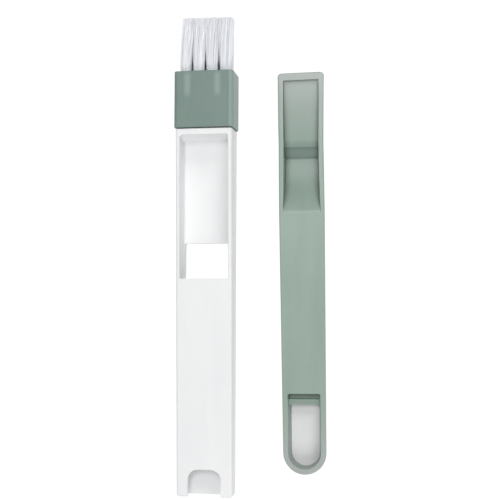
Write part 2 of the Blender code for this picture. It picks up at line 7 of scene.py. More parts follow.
import bpy
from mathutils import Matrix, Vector

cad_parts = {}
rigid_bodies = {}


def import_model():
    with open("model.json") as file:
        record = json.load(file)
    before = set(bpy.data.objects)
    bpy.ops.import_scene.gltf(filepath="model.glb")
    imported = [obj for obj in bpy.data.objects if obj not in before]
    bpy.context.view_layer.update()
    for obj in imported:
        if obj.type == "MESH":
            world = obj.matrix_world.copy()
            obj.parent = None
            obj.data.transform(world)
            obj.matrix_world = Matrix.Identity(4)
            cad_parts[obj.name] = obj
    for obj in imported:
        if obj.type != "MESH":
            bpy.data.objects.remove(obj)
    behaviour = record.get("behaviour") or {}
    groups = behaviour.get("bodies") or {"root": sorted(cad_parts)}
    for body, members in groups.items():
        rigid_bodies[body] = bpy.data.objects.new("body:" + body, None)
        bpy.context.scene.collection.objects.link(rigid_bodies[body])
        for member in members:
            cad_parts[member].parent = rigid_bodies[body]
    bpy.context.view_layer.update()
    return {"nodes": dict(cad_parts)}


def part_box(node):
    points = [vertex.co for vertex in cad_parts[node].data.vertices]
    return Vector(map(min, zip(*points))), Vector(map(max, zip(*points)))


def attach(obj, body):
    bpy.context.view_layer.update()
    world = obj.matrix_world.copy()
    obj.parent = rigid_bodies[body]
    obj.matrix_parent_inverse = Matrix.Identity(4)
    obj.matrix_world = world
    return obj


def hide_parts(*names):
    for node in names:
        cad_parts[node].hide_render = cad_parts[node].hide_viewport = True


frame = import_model()


# Handle
# A hollow tapered grip, injection moulded in one shot from white polypropylene. A recess, a window and a
# channel inside it take the dustpan, a round-shouldered notch bares the dustpan's loop, and a hollow tenon
# at the far end plugs into the cap.

handle_low, handle_high = (Vector(corner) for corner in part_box("handle_shell"))
mouth_y = handle_low.y
axis_x = (handle_low.x + handle_high.x) / 2
handle_length = 0.1700
handle_half_at_cap, handle_half_at_mouth = 0.0133, 0.01305
handle_front_at_cap, handle_front_at_mouth = 0.0156, 0.0098
handle_back_at_cap = 0.0007
handle_edge_radius = 0.0011
mouth_radius, mouth_stretch = 0.0010, 2.4
wall = 0.0016
floor_at_recess_end, floor_run = 0.00468, 0.166
# Tools reach past the surfaces that they cut, and selections reach a margin or a hair past theirs.
past, margin, hair = 0.002, 0.001, 0.00001


def block(name, low, high):
    """A cuboid between two corners, its place in its mesh."""
    bpy.ops.object.select_all(action="DESELECT")
    low, high = Vector(low), Vector(high)
    bpy.ops.mesh.primitive_cube_add(size=1, location=(low + high) / 2)
    made = bpy.context.object
    made.name = made.data.name = name
    made.scale = high - low
    bpy.ops.object.transform_apply(location=True, rotation=True, scale=True)
    return made


def pick(piece, kind, wanted):
    """Opens a piece in edit mode with only the wanted vertices, edges or faces selected.

    wanted gets a vertex's place, an edge's middle and direction, or a face's middle and normal.
    """
    bpy.ops.object.select_all(action="DESELECT")
    piece.select_set(True)
    bpy.context.view_layer.objects.active = piece
    mesh = piece.data
    for part in (*mesh.vertices, *mesh.edges, *mesh.polygons):
        part.select = False
    if kind == "VERT":
        for vertex in mesh.vertices:
            vertex.select = bool(wanted(vertex.co))
    elif kind == "EDGE":
        for edge in mesh.edges:
            start, end = (mesh.vertices[i].co for i in edge.vertices)
            edge.select = bool(wanted((start + end) / 2, (end - start).normalized()))
    else:
        for face in mesh.polygons:
            face.select = bool(wanted(face.center, face.normal))
    bpy.context.tool_settings.mesh_select_mode = (kind == "VERT", kind == "EDGE", kind == "FACE")
    bpy.ops.object.mode_set(mode="EDIT")


def close():
    """Leaves edit mode."""
    bpy.ops.object.mode_set(mode="OBJECT")


def shift(piece, wanted, by):
    """Moves the wanted vertices."""
    pick(piece, "VERT", wanted)
    bpy.ops.transform.translate(value=by)
    close()


def stretch(piece, wanted, by, about):
    """Scales the wanted vertices about a point."""
    pick(piece, "VERT", wanted)
    bpy.ops.transform.resize(value=by, center_override=about)
    close()


def round_off(piece, radius, steps, wanted):
    """Rounds the wanted edges."""
    pick(piece, "EDGE", wanted)
    bpy.ops.mesh.bevel(offset=radius, offset_type="OFFSET", segments=steps, profile=0.5, affect="EDGES")
    close()


def finish_with(piece, kind, **settings):
    """Adds a modifier and applies it."""
    bpy.ops.object.select_all(action="DESELECT")
    piece.select_set(True)
    bpy.context.view_layer.objects.active = piece
    modifier = piece.modifiers.new(kind.lower(), kind)
    for name, value in settings.items():
        setattr(modifier, name, value)
    bpy.ops.object.modifier_apply(modifier=modifier.name)


def cut(piece, tool, operation="DIFFERENCE"):
    """Takes a tool's volume out of a piece, or adds it, and removes the tool."""
    finish_with(piece, "BOOLEAN", object=tool, operation=operation, solver="EXACT")
    bpy.data.objects.remove(tool, do_unlink=True)


def round_sharp(piece, radius, steps, low, high, angle=35):
    """Rounds the sharp edges whose middles lie between two corners."""
    mesh = piece.data
    beside = {}
    for face in mesh.polygons:
        for key in face.edge_keys:
            beside.setdefault(key, []).append(face.normal)
    least = math.cos(math.radians(angle))
    sharp = {
        tuple((mesh.vertices[a].co + mesh.vertices[b].co) / 2)
        for (a, b), sides in beside.items()
        if len(sides) == 2 and sides[0].dot(sides[1]) < least
    }
    within = lambda p: all(low[i] <= p[i] <= high[i] for i in range(3))
    round_off(piece, radius, steps, lambda middle, run: within(middle) and tuple(middle) in sharp)


def soften(piece, radius, steps=2, angle=38):
    """Rounds every edge that is still sharp, as a mould's corners are."""
    finish_with(
        piece,
        "BEVEL",
        width=radius,
        segments=steps,
        limit_method="ANGLE",
        angle_limit=math.radians(angle),
        use_clamp_overlap=False,
        miter_outer="MITER_ARC",
    )


def along(axis, direction):
    """Whether an edge runs along an axis."""
    return abs(direction[axis]) > 0.9


def handle_floor(y):
    """Height of the channel's and the recess's floor, y measured from the mouth."""
    return wall + (floor_at_recess_end - wall) * y / floor_run


def handle_front(y):
    """Height of the handle's front face."""
    return handle_front_at_mouth + (handle_front_at_cap - handle_front_at_mouth) * y / handle_length


handle = block(
    "handle",
    (axis_x - handle_half_at_cap, mouth_y, 0),
    (axis_x + handle_half_at_cap, mouth_y + handle_length, handle_front_at_cap),
)
mouth_middle = (axis_x, mouth_y, 0)
at_mouth = lambda p: p.y < mouth_y + hair
shift(handle, lambda p: at_mouth(p) and p.z > wall, (0, 0, handle_front_at_mouth - handle_front_at_cap))
shift(handle, lambda p: not at_mouth(p) and p.z < wall, (0, 0, handle_back_at_cap))
stretch(handle, at_mouth, (handle_half_at_mouth / handle_half_at_cap, 1, 1), mouth_middle)
round_off(handle, handle_edge_radius, 6, lambda middle, run: along(1, run))
round_off(handle, mouth_radius, 5, lambda middle, run: at_mouth(middle))
stretch(handle, lambda p: p.y < mouth_y + mouth_radius * 1.5, (1, mouth_stretch, 1), mouth_middle)

tenon_inset, tenon_length, tenon_corner, tenon_bore_start = 0.0011, 0.0135, 0.0008, 0.1691
tenon_half = handle_half_at_cap - tenon_inset
tenon_low, tenon_high = handle_back_at_cap + tenon_inset, handle_front_at_cap - tenon_inset
tenon_end = mouth_y + handle_length + tenon_length
tool = block(
    "tenon",
    (axis_x - tenon_half, mouth_y + handle_length - past, tenon_low),
    (axis_x + tenon_half, tenon_end, tenon_high),
)
round_off(tool, tenon_corner, 4, lambda middle, run: along(1, run))
cut(handle, tool, "UNION")
tool = block(
    "tenon_bore",
    (axis_x - tenon_half + wall, mouth_y + tenon_bore_start, tenon_low + wall),
    (axis_x + tenon_half - wall, tenon_end + past, tenon_high - wall),
)
cut(handle, tool)

channel_half, channel_draft, channel_end = 0.0113, 0.0001, 0.1025
channel_corner, channel_middle_z = 0.0006, 0.005
tool = block(
    "channel",
    (axis_x - channel_half, mouth_y - past, handle_floor(-past)),
    (axis_x + channel_half, mouth_y + channel_end, handle_front(-past) - wall),
)
far = lambda p: p.y > mouth_y + channel_end - hair
floor_rise = handle_floor(channel_end) - handle_floor(-past)
front_rise = handle_front(channel_end) - handle_front(-past)
shift(tool, lambda p: far(p) and p.z < channel_middle_z, (0, 0, floor_rise))
shift(tool, lambda p: far(p) and p.z > channel_middle_z, (0, 0, front_rise))
stretch(tool, far, (1 - channel_draft / channel_half, 1, 1), (axis_x, 0, 0))
round_off(tool, channel_corner, 3, lambda middle, run: along(1, run))
cut(handle, tool)

recess_start, recess_end, recess_slant, recess_draft = 0.1005, 0.1675, 0.0015, 0.00015
recess_drop, recess_rise, recess_corner, recess_foot = 0.0003, 0.0012, 0.0012, 0.0008
recess_half = channel_half + recess_draft
recess_middle_y, recess_low_z = mouth_y + (recess_start + recess_end) / 2, 0.0055
tool = block(
    "recess",
    (axis_x - recess_half, mouth_y + recess_start, handle_floor(recess_start) - recess_drop),
    (axis_x + recess_half, mouth_y + recess_end, handle_front_at_cap + past),
)
far = lambda p: p.y > recess_middle_y
shift(tool, lambda p: far(p) and p.z < recess_low_z, (0, -recess_slant, recess_rise))
round_off(tool, recess_corner, 5, lambda middle, run: far(middle) and along(2, run))
past_start = lambda p: p.y > mouth_y + recess_start + margin
round_off(tool, recess_foot, 4, lambda middle, run: past_start(middle) and middle.z < recess_low_z)
cut(handle, tool)

window_half, window_end, window_corner = 0.0111, 0.1173, 0.0009
tool = block(
    "window",
    (axis_x - window_half, mouth_y + recess_start, -past),
    (axis_x + window_half, mouth_y + window_end, handle_floor(window_end) + past),
)
round_off(tool, window_corner, 4, lambda middle, run: along(2, run))
cut(handle, tool)

notch_half, notch_length, notch_corner, notch_floor = 0.0077, 0.0125, 0.0046, 0.0049
tool = block(
    "notch",
    (axis_x - notch_half, mouth_y - past, notch_floor),
    (axis_x + notch_half, mouth_y + notch_length, handle_front(notch_length) + past),
)
round_off(tool, notch_corner, 10, lambda middle, run: along(2, run) and middle.y > mouth_y)
cut(handle, tool)

recess_rim_radius, recess_rim_low, recess_rim_high = 0.00035, 0.0120, 0.0160
recess_low = (axis_x - handle_half_at_mouth, mouth_y + recess_start - margin, recess_rim_low)
recess_high = (axis_x + handle_half_at_mouth, mouth_y + recess_end + margin, recess_rim_high)
round_sharp(handle, recess_rim_radius, 3, recess_low, recess_high)

notch_rim_radius, notch_rim_start, notch_rim_low, notch_rim_high = 0.0004, 0.0030, 0.0085, 0.0110
notch_low = (axis_x - notch_half - margin, mouth_y + notch_rim_start, notch_rim_low)
notch_high = (axis_x + notch_half + margin, mouth_y + notch_length + margin, notch_rim_high)
round_sharp(handle, notch_rim_radius, 3, notch_low, notch_high)

handle_softness = 0.00012
soften(handle, handle_softness)


def rgb(hexadecimal):
    """Linear colour of an sRGB hex value."""
    parts = [int(hexadecimal[i : i + 2], 16) / 255 for i in (0, 2, 4)]
    return [p / 12.92 if p <= 0.04045 else ((p + 0.055) / 1.055) ** 2.4 for p in parts] + [1]


def feed(tree, node, settings):
    """Sets a node's properties and sockets. A socket gets a value, or is linked to an output or a node."""
    for name, value in settings.items():
        source = value.outputs[0] if isinstance(value, bpy.types.Node) else value
        if isinstance(source, bpy.types.NodeSocket):
            tree.links.new(source, node.inputs[name])
        elif isinstance(name, str) and name in node.bl_rna.properties:
            setattr(node, name, value)
        else:
            node.inputs[name].default_value = value


def add_node(tree, kind, settings=None):
    """Adds a node with its settings and links."""
    made = tree.nodes.new(kind)
    feed(tree, made, settings or {})
    return made


def new_material(name):
    """A material with its Principled shader, and the object's own coordinates in metres."""
    material = bpy.data.materials.new(name)
    material.use_nodes = True
    tree = material.node_tree
    shader = tree.nodes["Principled BSDF"]
    place = add_node(tree, "ShaderNodeTexCoord").outputs["Object"]
    return material, tree, shader, place


def cloud(tree, place, scales, detail, limits, colours):
    """A noise with a scale for each axis, and the tone between two colours that follows it."""
    flow = add_node(tree, "ShaderNodeMapping", {"Vector": place, "Scale": scales})
    noise = add_node(tree, "ShaderNodeTexNoise", {"Vector": flow, "Scale": 1.0, "Detail": detail})
    tone = add_node(tree, "ShaderNodeValToRGB", {"Fac": noise})
    for stop, position, colour in zip(tone.color_ramp.elements, limits, colours):
        stop.position = position
        stop.color = rgb(colour)
    return noise, tone


def paint_corner_shade(tree, colour, reach, closed, opened, least):
    """A colour with painted shade in the inner corners, darker the more closed in they are, down to a least
    share of it.
    """
    openness = add_node(tree, "ShaderNodeAmbientOcclusion", {"samples": 8, "Distance": reach})
    ends = {"From Min": closed, "From Max": opened, "To Min": least, "To Max": 1.0}
    share = add_node(tree, "ShaderNodeMapRange", {"Value": openness.outputs["AO"], **ends})
    return add_node(tree, "ShaderNodeVectorMath", {"operation": "SCALE", 0: colour, "Scale": share})


def mould_grain(tree, place, scale, strength):
    """The fine bumps that a mould's surface leaves, 0.03 mm deep."""
    grain = add_node(tree, "ShaderNodeTexNoise", {"Vector": place, "Scale": scale, "Detail": 2.0})
    depth = {"Strength": strength, "Distance": 0.00003}
    return add_node(tree, "ShaderNodeBump", {"Height": grain, **depth})


# White polypropylene, straight from a polished mould: bright, a little waxy, soft broad reflections. Flow
# from the gate leaves faint long clouds, and the surface has a very fine orange peel, 0.7 mm across.
white, tree, shader, place = new_material("moulded_white_polypropylene")
clouds, tone = cloud(
    tree, place, scales=(90, 14, 90), detail=3.0, limits=(0.3, 0.75), colours=("EBECED", "F1F2F2")
)
feed(
    tree,
    shader,
    {
        # Painted shade darkens the tight inner corners.
        "Base Color": paint_corner_shade(tree, tone, reach=0.0015, closed=0.15, opened=0.4, least=0.2),
        "Roughness": add_node(tree, "ShaderNodeMapRange", {"Value": clouds, "To Min": 0.46, "To Max": 0.56}),
        "Normal": mould_grain(tree, place, scale=1400.0, strength=0.12),
        "IOR": 1.49,
        "Subsurface Weight": 0.12,
        "Subsurface Radius": (0.0016, 0.0015, 0.0014),
        "Subsurface Scale": 1.0,
    },
)


def dress(piece, material, body, slot, *nodes):
    """Gives a finished piece its material and its body, and hides the solids that it stands for. The slot is
    not used.
    """
    pick(piece, "FACE", lambda middle, normal: True)
    bpy.ops.mesh.remove_doubles(threshold=1e-7)
    bpy.ops.mesh.select_all(action="SELECT")
    bpy.ops.mesh.normals_make_consistent(inside=False)
    close()
    bpy.ops.object.shade_smooth_by_angle(angle=math.radians(35))
    finish_with(piece, "WEIGHTED_NORMAL", weight=100, keep_sharp=True)
    piece.data.materials.clear()
    piece.data.materials.append(material)
    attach(piece, body)
    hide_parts(*nodes)


dress(handle, white, "brush", "white_plastic", "handle_shell")


# Cap
# The brush head, a thick-walled block moulded in sage green ABS. Its socket is pressed on the handle's
# tenon and stands a little proud all round, and eight blind holes in its end hold the bristle tufts.

cap_low, cap_high = (Vector(corner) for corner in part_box("brush_head"))
cap_middle_z = (cap_low.z + cap_high.z) / 2
cap_radius, cap_mouth_radius, cap_end_radius, cap_softness = 0.0017, 0.0004, 0.0006, 0.0002
socket_depth, socket_corner, mouth_gap = 0.0135, 0.0011, 0.0002
cap_wall = 0.0015
tuft_pitch, tuft_radius, tuft_clearance, tuft_hole_depth = 0.00632, 0.00245, 0.0002, 0.0085

cap = block("cap", cap_low + Vector((0, mouth_gap, 0)), cap_high)
round_off(cap, cap_radius, 8, lambda middle, run: along(1, run))
round_off(cap, cap_mouth_radius, 5, lambda middle, run: middle.y < cap_low.y + mouth_gap + hair)
round_off(cap, cap_end_radius, 4, lambda middle, run: middle.y > cap_high.y - hair)
tool = block(
    "socket",
    (cap_low.x + cap_wall, cap_low.y - past, cap_low.z + cap_wall),
    (cap_high.x - cap_wall, cap_low.y + socket_depth, cap_high.z - cap_wall),
)
round_off(tool, socket_corner, 4, lambda middle, run: along(1, run))
cut(cap, tool)
tuft_places = [
    (axis_x + (column - 1.5) * tuft_pitch, cap_middle_z + (row - 0.5) * tuft_pitch)
    for column in range(4)
    for row in range(2)
]
for x, z in tuft_places:
    bpy.ops.object.select_all(action="DESELECT")
    bpy.ops.mesh.primitive_cylinder_add(
        vertices=40,
        radius=tuft_radius + tuft_clearance,
        depth=tuft_hole_depth + past,
        location=(x, cap_high.y + (past - tuft_hole_depth) / 2, z),
        rotation=(math.pi / 2, 0, 0),
    )
    bpy.ops.object.transform_apply(location=True, rotation=True, scale=True)
    cut(cap, bpy.context.object)
soften(cap, cap_softness)


def near_middle(tree, value, middle, reach, fade):
    """One up to a reach on either side of a middle, fading to nothing."""
    away = add_node(tree, "ShaderNodeMath", {"operation": "SUBTRACT", 0: value, 1: middle})
    away = add_node(tree, "ShaderNodeMath", {"operation": "ABSOLUTE", 0: away})
    ends = {"From Min": reach, "From Max": reach + fade, "To Min": 1.0, "To Max": 0.0}
    smooth = {"interpolation_type": "SMOOTHSTEP", "Value": away}
    return add_node(tree, "ShaderNodeMapRange", {**smooth, **ends})


# Sage green ABS with a satin polish: even grey green, slightly cloudy where the melt flowed round the hole
# cores. Two soft upright streaks under the tufts are painted reflections and one long edge is a painted
# highlight, both mixed towards a paler green. The grain is 0.5 mm across.
sage, tree, shader, place = new_material("satin_sage_abs")
clouds, tone = cloud(
    tree, place, scales=(110, 35, 110), detail=4.0, limits=(0.3, 0.72), colours=("6B8078", "748981")
)
spot = add_node(tree, "ShaderNodeSeparateXYZ", {"Vector": place}).outputs
# Painted reflections: two soft upright streaks under the tufts, and a painted highlight on one long edge.
left_streak = near_middle(tree, spot["X"], middle=axis_x - 0.0076, reach=0.0002, fade=0.0022)
right_streak = near_middle(tree, spot["X"], middle=axis_x + 0.0066, reach=0.0002, fade=0.0022)
painted_reflections = add_node(tree, "ShaderNodeMath", {"operation": "MAXIMUM", 0: left_streak, 1: right_streak})
under_tufts = near_middle(tree, spot["Y"], middle=cap_high.y - 0.0062, reach=0.0028, fade=0.0046)
painted_reflections = add_node(tree, "ShaderNodeMath", {"operation": "MULTIPLY", 0: painted_reflections, 1: under_tufts})
edge_highlight = near_middle(tree, spot["X"], middle=axis_x + 0.0147, reach=0.0022, fade=0.0008)
painted_highlights = add_node(tree, "ShaderNodeMath", {"operation": "MAXIMUM", 0: painted_reflections, 1: edge_highlight})
painted_highlights = add_node(tree, "ShaderNodeMath", {"operation": "MULTIPLY", 0: painted_highlights, 1: 0.6})
feed(
    tree,
    shader,
    {
        "Base Color": add_node(
            tree, "ShaderNodeMixRGB", {"Fac": painted_highlights, "Color1": tone, "Color2": rgb("93A69F")}
        ),
        "Roughness": add_node(tree, "ShaderNodeMapRange", {"Value": clouds, "To Min": 0.42, "To Max": 0.54}),
        "Normal": mould_grain(tree, place, scale=2000.0, strength=0.1),
        "IOR": 1.52,
    },
)
dress(cap, sage, "brush", "sage_plastic", "brush_head")


# Tufts
# Extruded white nylon filament, 0.28 mm thick, cut to length, folded in two and stapled into each hole.
# The ends are trimmed on a machine after filling, so they lie nearly in one plane but fan out a little.

filament_radius = 0.00014
filaments_per_tuft = 330
filament_sunk, filament_bow = 0.0030, 0.00022
root_reach = tuft_radius * 0.89
tip_pitch, tip_reach, tuft_lean = 0.00565, 0.0032, 0.0015
flare_power, row_lean = 0.68, 0.0016
trim_unevenness, worn_short = 0.0008, 0.0007
filament_sides, filament_rings = 4, 7

bpy.ops.object.select_all(action="DESELECT")
bpy.ops.mesh.primitive_cylinder_add(
    vertices=filament_sides,
    radius=filament_radius,
    depth=1,
    location=(0, 0.5, 0),
    rotation=(math.pi / 2, 0, 0),
)
strand = bpy.context.object
strand.name = "strand"
bpy.ops.object.transform_apply(location=True, rotation=True, scale=True)
pick(strand, "EDGE", lambda middle, run: along(1, run))
bpy.ops.mesh.subdivide(number_cuts=filament_rings - 1)
close()

draw = random.Random(11)


def lay_filament(base, tip, top, across, deep):
    """A copy of the one filament, from its hole to its trimmed end, bowed a little on its way."""
    laid = strand.copy()
    laid.data = strand.data.copy()
    bpy.context.scene.collection.objects.link(laid)
    # A tuft is round in its hole and nearly square at its tip, where its neighbours press on it.
    spread = math.hypot(across, deep) / max(abs(across), abs(deep), 1e-6)
    start = Vector((base[0] + across * root_reach, cap_high.y - filament_sunk, base[1] + deep * root_reach))
    end = Vector(
        (
            tip[0] + across * spread * tip_reach,
            top - draw.uniform(0, trim_unevenness),
            tip[1] + deep * spread * tip_reach,
        )
    )
    bow = Vector((draw.uniform(-1, 1), 0, draw.uniform(-1, 1))) * filament_bow
    lean = Vector((tip[0] - base[0], 0, 0))
    for vertex in laid.data.vertices:
        share = vertex.co.y
        flare = start.lerp(end - lean, share**flare_power)
        flare.y = start.y + (end.y - start.y) * share
        middle = flare + lean * share**2 + bow * math.sin(share * math.pi)
        vertex.co = middle + Vector((vertex.co.x, 0, vertex.co.z))
    return laid


golden_turn = math.pi * (3 - math.sqrt(5))
first_x = tuft_places[0][0]
for number, (x, z) in enumerate(tuft_places, start=1):
    lean = tuft_lean if z > cap_middle_z else tuft_lean - row_lean
    tip = (
        axis_x + (x - axis_x) * tip_pitch / tuft_pitch + lean,
        cap_middle_z + (z - cap_middle_z) * tip_pitch / tuft_pitch,
    )
    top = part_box(f"tuft_{number}")[1][1] - worn_short * (x - first_x) / (3 * tuft_pitch)
    filaments = []
    for i in range(filaments_per_tuft):
        out = math.sqrt((i + 0.5) / filaments_per_tuft)
        turn = i * golden_turn
        filaments.append(lay_filament((x, z), tip, top, out * math.cos(turn), out * math.sin(turn)))
    bpy.ops.object.select_all(action="DESELECT")
    for filament in filaments:
        filament.select_set(True)
    bpy.context.view_layer.objects.active = filaments[0]
    bpy.ops.object.join()
    filaments[0].name = filaments[0].data.name = f"bristles_{number}"
bpy.data.objects.remove(strand, do_unlink=True)

# Nylon filament: white with a cold tinge, a smooth waxy skin, and each filament a shade of its own.
nylon, tree, shader, place = new_material("white_nylon_filament")
_, tone = cloud(
    tree, place, scales=(2200, 45, 2200), detail=2.0, limits=(0.3, 0.7), colours=("F0F2F7", "FBFCFF")
)
feed(tree, shader, {"Base Color": tone, "Roughness": 0.45, "IOR": 1.53})
for number in range(1, 9):
    dress(bpy.data.objects[f"bristles_{number}"], nylon, "brush", "white_filament", f"tuft_{number}")


# Tuft anchors
# Flat staples of drawn steel wire, one across each hole. A machine drives them in over the folded filament,
# and they bite into the cap. Nothing of them shows, so their plain solids stay and only get their steel.

# Bright steel wire, drawn through a die, which leaves fine lines of warm grey and pale grey along it.
steel, tree, shader, place = new_material("drawn_steel_wire")
_, tone = cloud(
    tree, place, scales=(200, 9000, 9000), detail=2.0, limits=(0.0, 1.0), colours=("A9A59C", "CFCBC2")
)
feed(tree, shader, {"Base Color": tone, "Metallic": 1.0, "Roughness": 0.35})
for number in range(1, 9):
    anchor = frame["nodes"][f"anchor_{number}"]
    for slot in anchor.material_slots:
        slot.material = steel


# Dustpan
# A small tray, a flat bar and a hanging loop in one moulding of pale sage polypropylene. The tray's floor
# drops over a step into a pit, and a curved ramp rises from it to the bar, which is hollow beneath.

pan_length, pan_height, pan_skin = 0.1863, 0.0060, 0.0012
pan_half_at_tip, pan_half_at_waist, pan_half_at_ridge, pan_half_at_loop = 0.01105, 0.01055, 0.0107, 0.0100
ridge_y, waist_y = pan_length - 0.0653, pan_length - 0.0348
loop_radius = pan_half_at_loop
tip_height, tip_corner, rim_rise = 0.0041, 0.0018, 0.03
flank_draft, flank_low_z = 0.0005, 0.0025
pan_edge_radius, pan_edge_low_z, pan_softness = 0.0007, 0.0038, 0.00018
bowl_lip, bowl_lip_step, bowl_crown = 0.0037, 0.0013, 0.0003
step_height, step_length, step_straight, pit_floor = 0.0033, 0.0060, 0.75, 0.0009
rim_width, rim_width_at_ridge, bowl_draft = 0.0023, 0.0019, 0.0008
ridge_round = 0.0012
pit_y = waist_y - step_length
pan_middle = Vector((0.02397, -0.0074208, 0))
pan_angle = math.radians(0.73)


def pan_half(y):
    """Half the dustpan's width, y measured from the end of its loop."""
    stations = (
        (loop_radius, pan_half_at_loop),
        (ridge_y, pan_half_at_ridge),
        (waist_y, pan_half_at_waist),
        (pan_length, pan_half_at_tip),
    )
    for (y0, half0), (y1, half1) in zip(stations, stations[1:]):
        if y <= y1:
            break
    return half0 + (half1 - half0) * max(y - y0, 0) / (y1 - y0)


def tray_floor(y):
    """Height of the tray's floor: crowned behind the lip, a step down to the pit, and the ramp to the bar."""
    if y >= waist_y:
        share = (pan_length - bowl_lip - y) / (pan_length - bowl_lip - waist_y)
        lip_floor = tip_height - bowl_lip_step
        return lip_floor + (step_height - lip_floor) * share + bowl_crown * 4 * share * (1 - share)
    if y >= pit_y:
        share = (waist_y - y) / step_length
        fall = 2 / (1 + step_straight)
        straight, foot = 1 - fall * share, fall / 2 / (1 - step_straight) * (1 - share) ** 2
        return pit_floor + (step_height - pit_floor) * (straight if share < step_straight else foot)
    rise, run = pan_height - pit_floor, pit_y - ridge_y
    slope = 2 * rise / run
    if y > ridge_y + ridge_round:
        return pit_floor + rise * ((pit_y - y) / run) ** 2
    rolled = min(ridge_y + ridge_round - y, 2 * ridge_round)
    start = pan_height - slope * ridge_round
    return start + slope * rolled - slope * rolled**2 / (4 * ridge_round)


def rim_height(from_tip):
    """Height of the tray's rim, which rises in a soft curve from the tip."""
    share = min(from_tip / rim_rise, 1)
    return tip_height + (pan_height - tip_height) * share * share * (3 - 2 * share)


def bisect_at(piece, ys):
    """Cuts loops across the piece at each y."""
    for y in ys:
        pick(piece, "FACE", lambda middle, normal: True)
        bpy.ops.mesh.bisect(plane_co=(0, y, 0), plane_no=(0, 1, 0))
        close()


def at_y(y):
    """Whether a vertex lies in the loop at y."""
    return lambda p: abs(p.y - y) < 2e-6


def weld(piece, distance=0.00006):
    """Joins the vertices that a full round has brought together."""
    pick(piece, "VERT", lambda p: True)
    bpy.ops.mesh.remove_doubles(threshold=distance)
    close()


pan = block("dustpan_shell", (-loop_radius, 0, 0), (loop_radius, pan_length, pan_height))
bar_ys = [loop_radius, 0.03, 0.055, 0.08, 0.10, ridge_y, pit_y]
tray_loops = (0.030, 0.025, 0.020, 0.016, 0.012, 0.008, 0.004)
tray_ys = [waist_y] + [pan_length - from_tip for from_tip in tray_loops]
bisect_at(pan, bar_ys + tray_ys)
for y in bar_ys[1:] + tray_ys + [pan_length]:
    stretch(pan, at_y(y), (pan_half(y) / loop_radius, 1, 1), (0, y, 0))
for y in tray_ys + [pan_length]:
    drop = rim_height(pan_length - y) - pan_height
    shift(pan, lambda p: at_y(y)(p) and p.z > pan_height / 2, (0, 0, drop))
    shift(pan, lambda p: at_y(y)(p) and p.z < hair, (0, 0, max(tray_floor(y) - pan_skin, 0)))
round_off(pan, loop_radius - hair, 16, lambda middle, run: along(2, run) and middle.y < hair)
round_off(pan, tip_corner, 5, lambda middle, run: along(2, run) and middle.y > pan_length - hair)
weld(pan)
drafted = 1 - flank_draft / loop_radius
lower = lambda p: p.z < flank_low_z
at_loop = lambda p: p.y < loop_radius + hair
stretch(pan, lambda p: lower(p) and at_loop(p), (drafted, drafted, 1), (0, loop_radius, 0))
stretch(pan, lambda p: lower(p) and not at_loop(p), (drafted, 1, 1), (0, loop_radius, 0))
shift(pan, lambda p: lower(p) and p.y > pan_length - tip_corner - margin, (0, -flank_draft, 0))
top_low = (-pan_half_at_tip - margin, -margin, pan_edge_low_z)
top_high = (pan_half_at_tip + margin, pan_length + margin, pan_height + margin)
round_sharp(pan, pan_edge_radius, 4, top_low, top_high, 50)

block_half, run_out = 0.01, 0.0003
bowl_end = ridge_y - ridge_round - past
tool = block("bowl", (-block_half, bowl_end, 0), (block_half, pan_length - bowl_lip, pan_height + past))
floor_ys = [waist_y + (pan_length - bowl_lip - waist_y) * i / 10 for i in range(10)]
floor_ys += [waist_y - step_length * share for share in (0.35, 0.7, 0.8, 0.9, 1.0)]
floor_ys += [pit_y - (pit_y - ridge_y - ridge_round) * i / 10 for i in range(1, 11)]
floor_ys += [ridge_y + ridge_round * share for share in (0.6, 0.2, -0.2, -0.6, -1.0)]
bisect_at(tool, floor_ys)
for y in floor_ys + [bowl_end, pan_length - bowl_lip]:
    narrowed = min(max((waist_y - y) / (waist_y - ridge_y), 0), 1)
    top_half = pan_half(y) - rim_width + (rim_width - rim_width_at_ridge) * narrowed
    low_half = top_half - bowl_draft * (pan_height - tray_floor(y)) / (pan_height - pan_skin)
    stretch(tool, lambda p: at_y(y)(p) and p.z > pan_height, (top_half / block_half, 1, 1), (0, y, 0))
    stretch(tool, lambda p: at_y(y)(p) and p.z < hair, (low_half / block_half, 1, 1), (0, y, 0))
    above = run_out if y == bowl_end else 0
    shift(tool, lambda p: at_y(y)(p) and p.z < hair, (0, 0, tray_floor(y) + above))
cut(pan, tool)

hole_rim, hole_draft, hole_far, hole_corner = 0.0026, 0.0009, 0.0318, 0.0008
hole_half = loop_radius - hole_rim
hole_centre = (0, hole_rim + hole_half, 0)
tool = block("hanging_hole", (-hole_half, hole_rim, -past), (hole_half, hole_far, pan_height + past))
at_arc = lambda p: p.y < hole_centre[1] + hair
round_off(tool, hole_half - hair, 16, lambda middle, run: along(2, run) and at_arc(middle))
weld(tool)
round_off(tool, hole_corner, 4, lambda middle, run: along(2, run) and middle.y > hole_far - hair)
slope = hole_draft / pan_height / hole_half
for low, share in ((True, 1 - slope * (pan_height + past)), (False, 1 + slope * past)):
    level = lambda p: (p.z < 0) == low
    stretch(tool, lambda p: level(p) and at_arc(p), (share, share, 1), hole_centre)
    stretch(tool, lambda p: level(p) and not at_arc(p), (share, 1, 1), hole_centre)
cut(pan, tool)

soften(pan, pan_softness)
# The rounding can lift a corner over the top by a few micrometres, which is pressed flat again.
stretch(pan, lambda p: p.z > pan_height, (1, 1, 0), (0, 0, pan_height))

